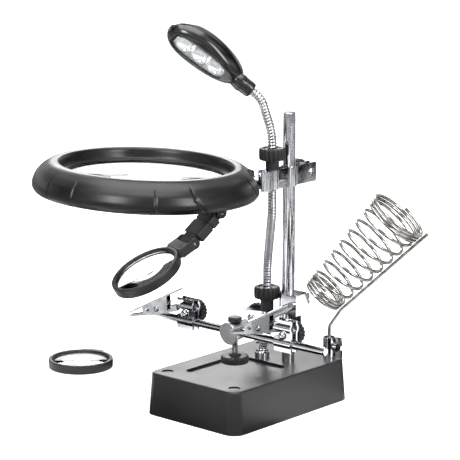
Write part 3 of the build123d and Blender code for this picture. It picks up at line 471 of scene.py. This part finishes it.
def slot_outline(share, half_length, half_width):
    """Rounded slot about the head's middle, as a superellipse of power 3.2."""
    turn = share * FULL
    power = 2 / 3.2
    along = lamp_middle - half_length * np.sign(np.cos(turn)) * np.abs(np.cos(turn)) ** power
    across = half_width * np.sign(np.sin(turn)) * np.abs(np.sin(turn)) ** power
    return along, across


share = np.arange(160) / 160
rows = []
for lift in np.linspace(0, 1, 24):
    bulge = math.cos(lift * math.pi / 2) ** 0.62
    along, across = egg(share, max(bulge, 0.0), -3.0 * lift)
    rows.append(lamp.at(along, across, split - back_rise * math.sin(lift * math.pi / 2)))
for lift in np.linspace(1, 0, 12):
    bulge = math.cos(lift * math.pi / 2) ** 0.62
    along, across = egg(share, max(bulge * 0.93, 0.0), -3.0 * lift)
    rows.append(lamp.at(along, across, split - (back_rise - 1.6) * math.sin(lift * math.pi / 2)))
join_body(surface("lamp_back_shell", np.stack(rows), gloss_abs, closed=True), "lamp_head",
          "gloss_black_plastic", "lamp_upper_shell")

rows = []
for lift in np.linspace(0, 1, 14):
    outer, inner = egg(share, 1.0), slot_outline(share, window_x, window_y)
    reach = 1 - math.cos(lift * math.pi / 2)
    along = outer[0] * (1 - reach) + inner[0] * reach
    across = outer[1] * (1 - reach) + inner[1] * reach
    rows.append(lamp.at(along, across, split + 5.5 * math.sin(lift * math.pi / 2)))
for height, grow in ((4.2, -0.35), (1.0, -0.4), (split + 0.1, -0.2)):
    rows.append(lamp.at(*slot_outline(share, window_x + grow, window_y + grow), height))
rows.append(lamp.at(*egg(share, 0.93), split))
join_body(surface("lamp_front_rim", np.stack(rows), gloss_abs, closed=True), "lamp_head",
          "gloss_black_plastic", "lamp_lower_bezel")

boot = soften([(2.95, -4.2), (4.3, -4.2), (4.9, -3.0), (4.9, 3.0), (5.3, 3.4), (5.3, 5.0), (4.6, 9.0),
               (2.95, 9.0)], 2)
join_body(turned("lamp_neck_boot", Place(lamp_root, lamp_way), boot, gloss_abs, 64, closed=True), "lamp_head",
          "gloss_black_plastic", "lamp_collar")

for index, step in enumerate((-11.5, 0.0, 11.5)):
    cup = Place(lamp.at(lamp_middle + step, 0.0, 0.5), lamp_face, lamp_way)
    bowl = [(2.6, 0.0), (3.6, 0.5), (4.7, 1.6), (5.2, 2.6), (5.4, 2.6), (4.9, 1.4), (3.8, 0.2), (2.6, -0.1)]
    join_body(turned(f"lamp_cup_{index + 1}", cup, bowl, metallised, 48, closed=True), "lamp_head",
              "mirror_reflector")

button = Place(lamp.at(25.0, 0.0, -9.4), -lamp_face, lamp_way)
cap = np.vstack([[(0, 5.2)], soften([(1.2, 5.2), (3.2, 4.9), (4.1, 4.0), (4.2, 0.0), (4.2, -3.0)], 2, False),
                 [(0, -3.0)]])


def ribbed(angle, reach, height):
    """Twenty shallow ribs round the cap's side: its radius dips by 0.28 mm between them."""
    return reach - 0.28 * (reach > 3.6) * (0.5 + 0.5 * np.cos(20 * angle))


join_body(turned("lamp_push_cap", button, cap, matte_abs, 160, ribbed), "lamp_button",
          "matte_black_plastic", "lamp_button")


# ---------------------------------------------------------------- magnifier hood and lenses
ring_out = way("magnifier_roll")
ring_up = np.cross(ring_out, -way("magnifier_tilt"))
magnifier_reach, stud_height, tilt_room = 71.5, 1.5, 8.4
ring = Place(pivot("magnifier_roll") - ring_out * magnifier_reach - ring_up * stud_height, ring_up, ring_out)
rim_radius, top_radius, half_height, lens_radius, lens_z = 69.5, 57.0, 9.5, 51.7, 1.0

hood_outline = soften([
    (rim_radius - 4.6, -half_height), (rim_radius - 1.8, -8.8), (rim_radius, -6.2), (rim_radius, -3.0),
    (rim_radius - 1.7, 1.6), (rim_radius - 5.0, 5.6), (rim_radius - 9.2, 8.4),
    (top_radius + 0.8, half_height), (top_radius - 2.8, half_height), (top_radius - 4.0, 8.0),
    (lens_radius + 0.6, lens_z + 1.8),
    (lens_radius - 2.2, lens_z + 1.5), (lens_radius - 2.2, lens_z), (lens_radius + 0.3, lens_z),
    (lens_radius + 0.3, lens_z - 6.4), (lens_radius + 2.0, lens_z - 6.4), (lens_radius + 2.0, lens_z + 3.0),
    (top_radius, half_height - 3.0), (rim_radius - 9.6, 5.2), (rim_radius - 4.8, 0.4),
    (rim_radius - 2.6, -4.0), (rim_radius - 3.2, -7.2), (rim_radius - 5.8, -half_height)], 2, keep=0.18)
# Middle of the skirt's wall, to tell its outer face from its inner one.
WALL_HEIGHTS = (-9.5, -6.5, -3.0, 1.5, 5.6, 8.4)
WALL_RADII = (64.2, 67.4, 68.3, 66.2, 62.6, 58.0)
# Straight and swept grooves, degrees round the ring from the stud, and how far each sweeps.
GROOVES = ((145.0, 0.0), (126.5, 0.0), (83.0, 0.0), (64.0, 8.0), (20.0, 12.0))


def grooved(angle, reach, height):
    """Skirt radius less a narrow dip at each groove, mirrored on both sides of the stud, and less the
    hollow about the stud's ball, where the bracket plates swing.

    A swept groove's angle grows with the square of the distance down from its upper end.
    """
    skirt = reach > np.interp(height, WALL_HEIGHTS, WALL_RADII)
    fade = np.clip((7.0 - height) / 2.5, 0, 1) * skirt
    turn = (np.degrees(angle) + 180) % 360 - 180
    drop = np.clip((7.0 - height) / 16.0, 0, 1)
    for centre, sweep in GROOVES:
        for side_sign in (-1, 1):
            away = (turn - side_sign * (centre - sweep * drop ** 2)) * math.pi / 180 * reach
            reach = reach - 0.55 * fade * np.exp(-(away / 0.7) ** 2)
    inside = tilt_room ** 2 - (height - stud_height) ** 2 - (magnifier_reach * np.sin(angle)) ** 2
    hollow = magnifier_reach * np.cos(angle) - np.sqrt(np.clip(inside, 0, None))
    near = skirt & (inside > 0) & (np.cos(angle) > 0)
    return np.where(near, np.minimum(reach, hollow), reach)


join_body(turned("magnifier_hood_shell", ring, hood_outline, hood_abs, 1080, grooved, closed=True, sharp=55),
          "magnifier", "gloss_black_plastic", "magnifier_hood")

boss = Place(ring.at(0.0, 0.0, stud_height), ring_out, ring_up)
seat_reach = np.array([2.05, 3.0, 4.0, 5.0, 5.9])
seat = np.stack([seat_reach, magnifier_reach - np.sqrt(tilt_room ** 2 - seat_reach ** 2)], 1)
boss_line = soften([*seat, (6.2, rim_radius - 4.6), (7.4, rim_radius - 8.5), (2.05, rim_radius - 9.5)],
                   2, keep=0.1)
join_body(turned("hood_stud_boss", boss, boss_line, hood_abs, 56, closed=True), "magnifier",
          "gloss_black_plastic")


def lens(name, place, radius, edge, crown, body, node):
    """Double convex lens: each face is a ball's cap, crown high, over an edge that stays straight."""
    reach = np.linspace(0, radius, 20)
    ball = (radius ** 2 + crown ** 2) / (2 * crown)
    rise = crown - ball + np.sqrt(ball ** 2 - reach ** 2)
    outline = np.vstack([np.stack([reach, rise], 1), np.stack([reach[::-1], -edge - rise[::-1]], 1)])
    return join_body(turned(name, place, outline, lens_glass, 128, sharp=30), body, "lens_glass", node)


lens("main_lens_glass", ring.up(lens_z - 0.25), lens_radius, 3.0, 2.6, "magnifier", "main_lens")

hinge_upper, hinge_lower = pivot("loupe_upper_fold"), pivot("loupe_lower_fold")
hinge_way = way("loupe_upper_fold")
ear_reach, ear_width, ear_radius = 6.3, 2.0, 3.2
ear_top = 4.5


def ear(name, side_sign, finish_of, body):
    """Hinge ear: a tongue with a round end, extruded along the hinge, its edges rounded by a bevel."""
    turn = np.linspace(-np.pi, 0, 25)
    back = unit(np.cross(hinge_way, ring_up))
    along = np.r_[ear_radius * np.cos(turn), [ear_radius, -ear_radius]]
    rise = np.r_[ear_radius * np.sin(turn), [ear_top, ear_top]]
    start = hinge_upper + hinge_way * side_sign * ear_reach
    loop = start + along[:, None] * back + rise[:, None] * ring_up
    grid = np.stack([loop, loop + hinge_way * side_sign * ear_width])
    piece = surface(name, grid, finish_of, caps=True, sharp=35)
    bevel = piece.modifiers.new("edge", "BEVEL")
    bevel.width, bevel.segments, bevel.limit_method = 0.35 * MM, 2, "ANGLE"
    return join_body(piece, body, "gloss_black_plastic")


for side_name, side_sign in (("near", -1), ("far", 1)):
    ear(f"hood_hinge_ear_{side_name}", side_sign, hood_abs, "magnifier")


link_way = unit(hinge_lower - hinge_upper)
link_length = np.linalg.norm(hinge_lower - hinge_upper)
link = Place(hinge_upper, link_way, hinge_way)


def blocky(name, place, sections, finish_of, body, slot, *replaced):
    """Moulded block along the place's z: each section (height, half width, half thickness) is a rounded
    rectangle, drawn as a superellipse of power 9, and neighbouring sections are joined straight.
    """
    turn = np.arange(64) / 64 * FULL
    power = 2 / 9
    across = np.sign(np.cos(turn)) * np.abs(np.cos(turn)) ** power
    rise = np.sign(np.sin(turn)) * np.abs(np.sin(turn)) ** power
    grid = np.stack([place.at(across * wide, rise * thick, height) for height, wide, thick in sections])
    return join_body(surface(name, grid, finish_of, caps=True, sharp=30), body, slot, *replaced)


blocky("loupe_link_arm", link, [
    (-3.1, 5.7, 1.9), (-2.2, 5.9, 2.8), (3.9, 5.9, 3.0), (4.3, 8.0, 3.2), (4.7, 8.3, 3.5), (9.2, 8.3, 3.5),
    (9.6, 7.7, 3.0), (10.6, 7.7, 3.0), (11.0, 8.3, 3.5), (link_length - 4.9, 8.3, 3.5),
    (link_length - 4.5, 8.0, 3.2), (link_length - 4.1, 5.9, 3.0), (link_length + 2.2, 5.9, 2.8),
    (link_length + 3.1, 5.7, 1.9)], matte_abs, "loupe_link", "matte_black_plastic", "loupe_link")


# ---------------------------------------------------------------- small lenses
def small_lens(place, label, body, tab_to):
    """Loupe ring with rounded edges and a seat, its plug tab, and its glass."""
    outline = soften([(18.0, -3.0), (21.2, -3.0), (21.6, -2.4), (21.6, 2.4), (21.2, 3.0), (19.6, 3.0),
                      (18.95, 2.4), (18.95, -1.0), (18.0, -1.0)], 2)
    join_body(turned(f"{label}_lens_ring", place, outline, matte_abs, 128, closed=True), body,
              "matte_black_plastic", f"{label}_lens_frame")
    lens(f"{label}_lens_disc", place.up(1.15), 18.88, 2.0, 1.4, body, f"{label}_lens_glass")
    outward = Place(place.origin, place.x, place.y)
    shoulder = [(20.4, 7.8, 2.6), (20.6, 8.0, 2.7), (22.7, 8.0, 2.7), (23.0, 7.6, 2.4)]
    blocky(f"{label}_lens_shoulder", outward, shoulder, matte_abs, body, "matte_black_plastic")
    blocky(f"{label}_lens_tab", outward, [(19.6, 4.9, 1.4), (19.8, 5.0, 1.5), (tab_to - 0.4, 5.0, 1.5),
                                          (tab_to, 4.5, 1.2)], matte_abs, body, "matte_black_plastic")


socket_way = way("small_lens_plug")
socket_up = -np.cross(socket_way, hinge_way)
loupe_reach, tab_end = 32.0, 28.1
small_lens(Place(hinge_lower + socket_way * loupe_reach, socket_up * np.sign(socket_up[2]), -socket_way),
           "small", "small_lens", tab_end)
spare_low, spare_high = (np.array(corner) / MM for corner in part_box("spare_lens_glass"))
spare_middle = np.array([(spare_low[0] + spare_high[0]) / 2, (spare_low[1] + spare_high[1]) / 2, 3.0])
small_lens(Place(spare_middle, (0, 0, 1), bearing(115.0)), "spare", "spare_lens", tab_end)


# ---------------------------------------------------------------- soldering iron rest
wire_radius = 1.05
coil_length, coil_small, coil_big = 74.0, 12.2, 18.4
iron = pivot("iron_rest_turn")
iron_bearing, iron_slope = 26.0, 48.6
coil_way = bearing(iron_bearing, iron_slope)
coil_under = bearing(iron_bearing, iron_slope - 90)
coil = Place(np.array([iron[0], iron[1], 66.2]) - bearing(iron_bearing) * 5.1, coil_way)
close_length, close_turns, open_turns = 7.05, 3, 7


def coil_route():
    """Cone-shaped helix: its radius grows evenly with the distance along the axis, and that distance
    grows slowly over the close turns at both ends and quickly over the open turns between them.
    """
    turns = 2 * close_turns + open_turns
    turn = np.linspace(0, turns, turns * 56 + 1)
    knots = [0, close_turns, close_turns + open_turns, turns]
    fine = np.interp(turn, knots, [0, close_length, coil_length - close_length, coil_length])
    window = np.hanning(25) / np.hanning(25).sum()
    along = np.convolve(np.pad(fine, 12, mode="reflect", reflect_type="odd"), window, mode="valid")
    reach = coil_small + (coil_big - coil_small) * along / coil_length
    return coil.at(reach * np.cos(turn * FULL), reach * np.sin(turn * FULL), along)


join_body(carried("iron_coil_wire", coil_route(), spring_wire, wire_radius, 14), "iron_rest", "chrome",
          "iron_coil_ends", "iron_coil_middle")
leg_offset = 2 * wire_radius + 0.4
leg_route = route_round([
    (iron[0], iron[1], 13.0), (iron[0], iron[1], 47.0),
    coil.origin + coil_under * (coil_small + leg_offset) + coil_way * 2,
    coil.origin + coil_under * (coil_big + leg_offset) + coil_way * (coil_length + 3)], [6.0, 10.0], 0.7)
join_body(carried("iron_leg_wire", leg_route, spring_wire, wire_radius, 16), "iron_rest", "chrome",
          "iron_rest_leg")


# ---------------------------------------------------------------- clips and small fasteners
def dome(name, point, direction, radius, rise, body, metal=nickel, slot="nickel_steel"):
    """Rivet or screw end: a low dome on a short straight wall."""
    outline = np.vstack([[(0, rise)], soften([(radius * 0.5, rise * 0.93), (radius * 0.85, rise * 0.62),
                                              (radius, rise * 0.2), (radius, -0.4)], 2, False), [(0, -0.4)]])
    return join_body(turned(name, Place(point, direction), outline, metal, 32), body, slot)


spring_turns, spring_radius, spring_step, spring_wire_radius = 5, 1.75, 0.82, 0.36
jaw_half_width = 3.6
for side in ("left", "right"):
    ball, jaw_pin, across = pivot(f"{side}_clip_tilt"), pivot(f"{side}_jaw_open"), way(f"{side}_clip_tilt")
    toward = unit(jaw_pin - ball)
    above = np.cross(toward, across)
    for index, side_sign in enumerate((-1, 1)):
        dome(f"{side}_clip_rivet_{index + 1}", jaw_pin + across * side_sign * jaw_half_width,
             across * side_sign, 1.7, 0.7, f"{side}_clip")
    turn = np.linspace(0, spring_turns, spring_turns * 24 + 1)
    centre = jaw_pin - toward * 4.6 + above * 1.4
    spring = (centre + across * ((turn - spring_turns / 2) * spring_step)[:, None]
              + toward * (spring_radius * np.cos(turn * FULL))[:, None]
              + above * (spring_radius * np.sin(turn * FULL))[:, None])
    tail = (spring[-1] - toward * np.linspace(0.4, 8.0, 12)[:, None]
            + above * np.linspace(0.1, 2.6, 12)[:, None])
    wound = carried(f"{side}_clip_spring", np.vstack([spring, tail]), spring_wire, spring_wire_radius, 8)
    join_body(wound, f"{side}_clip", "nickel_steel")
    front = pivot(f"{side}_clamp_knob_turn") - np.array([0, 3.8, 0])
    dome(f"{side}_clamp_screw_end", front, (0, -1, 0), 2.4, 1.3, f"{side}_clamp", chrome, "chrome")
for label, owner in (("lower", "base"), ("upper", "upper_bracket")):
    joint = f"{label}_knob_turn"
    dome(f"{label}_bracket_screw_end", pivot(joint) - way(joint) * plate_out, -way(joint), 2.6, 1.4, owner,
         chrome, "chrome")


# ---------------------------------------------------------------- stage, light and camera
floor_mesh = bpy.data.meshes.new("floor")
floor_mesh.from_pydata([(-9, -9, 0), (9, -9, 0), (9, 9, 0), (-9, 9, 0)], [], [(0, 1, 2, 3)])
floor_piece = bpy.data.objects.new("floor", floor_mesh)
bpy.context.scene.collection.objects.link(floor_piece)
paper = finish("matte_white_paper", "#fbfbfb", "#ffffff", 400, 0.9, 0.03)
floor_mesh.materials.append(paper)
# Black cards laid round the stand, out of sight: only mirror reflections meet them, as dark patches
# about 150 mm across, and what is seen directly or through glass is lifted to an even white.
paper_shader = next(node for node in paper.node_tree.nodes if node.type == "BSDF_PRINCIPLED")
paper_output = next(node for node in paper.node_tree.nodes if node.type == "OUTPUT_MATERIAL")
ray = add(paper, "ShaderNodeLightPath")
card_noise = add(paper, "ShaderNodeTexNoise", {"Vector": add(paper, "ShaderNodeTexCoord").outputs["Object"],
                                               "Scale": 6.5, "Detail": 1.0})
card_edge = add(paper, "ShaderNodeMapRange", {"Value": card_noise.outputs["Fac"], "From Min": 0.44,
                                              "From Max": 0.5})
mirrored = add(paper, "ShaderNodeMath", {0: ray.outputs["Is Glossy Ray"],
                                         1: ray.outputs["Is Transmission Ray"]},
               operation="SUBTRACT", use_clamp=True)
card = add(paper, "ShaderNodeMath", {0: card_edge.outputs[0], 1: mirrored.outputs[0]}, operation="MULTIPLY")
black_card = add(paper, "ShaderNodeBsdfDiffuse", {"Color": colour("#0c0c0d")})
carded = add(paper, "ShaderNodeMixShader", {"Fac": card.outputs[0], 1: paper_shader.outputs[0],
                                            2: black_card.outputs[0]})
direct = add(paper, "ShaderNodeMath", {0: ray.outputs["Is Camera Ray"],
                                       1: ray.outputs["Is Transmission Ray"]}, operation="MAXIMUM")
lift_amount = add(paper, "ShaderNodeMath", {0: direct.outputs[0], 1: 0.45}, operation="MULTIPLY")
lift_light = add(paper, "ShaderNodeEmission", {"Color": (1, 1, 1, 1), "Strength": lift_amount.outputs[0]})
lifted = add(paper, "ShaderNodeAddShader", {0: carded.outputs[0], 1: lift_light.outputs[0]})
paper.node_tree.links.new(lifted.outputs[0], paper_output.inputs["Surface"])


def soft_light(name, place, aim, width, height, power):
    """Rectangular studio light aimed at a point, all in metres and watts."""
    data = bpy.data.lights.new(name, "AREA")
    data.shape, data.size, data.size_y, data.energy = "RECTANGLE", width, height, power
    light = bpy.data.objects.new(name, data)
    light.location = place
    light.rotation_euler = (Vector(aim) - Vector(place)).to_track_quat("-Z", "Y").to_euler()
    bpy.context.scene.collection.objects.link(light)


middle = (0.0, -0.01, 0.1)
soft_light("top_light", (0.05, -0.1, 1.15), middle, 1.1, 1.1, 16)
soft_light("key_light", (0.2, -1.15, 0.75), (-0.02, -0.03, 0.12), 0.35, 0.5, 9)
soft_light("side_light", (1.15, -0.1, 0.55), middle, 0.3, 0.7, 8)
soft_light("back_light", (-0.9, 0.75, 0.7), middle, 0.6, 0.5, 8)

world = bpy.data.worlds.new("studio")
bpy.context.scene.world = world
world.use_nodes = True
world.node_tree.nodes.clear()
direction = add(world, "ShaderNodeTexCoord").outputs["Generated"]
parts = add(world, "ShaderNodeSeparateXYZ", {"Vector": direction})
compass = add(world, "ShaderNodeMath", {0: parts.outputs[1], 1: parts.outputs[0]}, operation="ARCTAN2")
round_share = add(world, "ShaderNodeMapRange", {"Value": compass.outputs[0], "From Min": -math.pi,
                                                "From Max": math.pi})
# White studio walls with dark gaps between the panels, so that bright metal shows streaks.
walls = add(world, "ShaderNodeValToRGB", {"Fac": round_share.outputs[0]})
panel_edges = ((0.0, 1.0), (0.06, 1.0), (0.075, 0.04), (0.13, 0.04), (0.145, 1.0), (0.24, 1.0), (0.255, 0.05),
               (0.30, 0.05), (0.315, 1.0), (0.43, 1.0), (0.445, 0.03), (0.50, 0.03), (0.515, 1.0), (0.62, 1.0),
               (0.635, 0.05), (0.70, 0.05), (0.715, 1.0), (0.84, 1.0), (0.855, 0.04), (0.90, 0.04), (0.915, 1.0))
while len(walls.color_ramp.elements) < len(panel_edges):
    walls.color_ramp.elements.new(0.5)
for stop, (position, value) in zip(walls.color_ramp.elements, panel_edges):
    stop.position, stop.color = position, (value, value, value, 1)
heights = add(world, "ShaderNodeValToRGB", {"Fac": parts.outputs[2]})
bands = ((0.0, 0.25), (0.10, 1.0), (0.30, 1.0), (0.36, 0.06), (0.48, 0.06), (0.55, 1.0), (1.0, 1.0))
while len(heights.color_ramp.elements) < len(bands):
    heights.color_ramp.elements.new(0.5)
for stop, (position, value) in zip(heights.color_ramp.elements, bands):
    stop.position, stop.color = position, (value, value, value, 1)
both = add(world, "ShaderNodeMix", {}, data_type="RGBA", blend_type="MULTIPLY")
both.inputs[0].default_value = 1.0
world.node_tree.links.new(walls.outputs[0], both.inputs[6])
world.node_tree.links.new(heights.outputs[0], both.inputs[7])
sky = add(world, "ShaderNodeBackground", {"Color": both.outputs[2], "Strength": 1.0})
add(world, "ShaderNodeOutputWorld", {"Surface": sky.outputs[0]})
bpy.context.scene.view_settings.view_transform = "Standard"

camera_data = bpy.data.cameras.new("camera")
camera_data.sensor_width = 36.0
camera_data.lens = 156.52
camera_data.clip_end = 50.0
camera = bpy.data.objects.new("camera", camera_data)
camera_point = Vector((0.7952, -0.9079, 0.3731))
camera_aim, camera_dip = math.radians(131.76), math.radians(12.17)
forward = Vector((math.cos(camera_dip) * math.cos(camera_aim), math.cos(camera_dip) * math.sin(camera_aim),
                  -math.sin(camera_dip)))
camera.matrix_world = Matrix.Translation(camera_point) @ forward.to_track_quat("-Z", "Y").to_matrix().to_4x4()
bpy.context.scene.collection.objects.link(camera)
bpy.context.scene.camera = camera
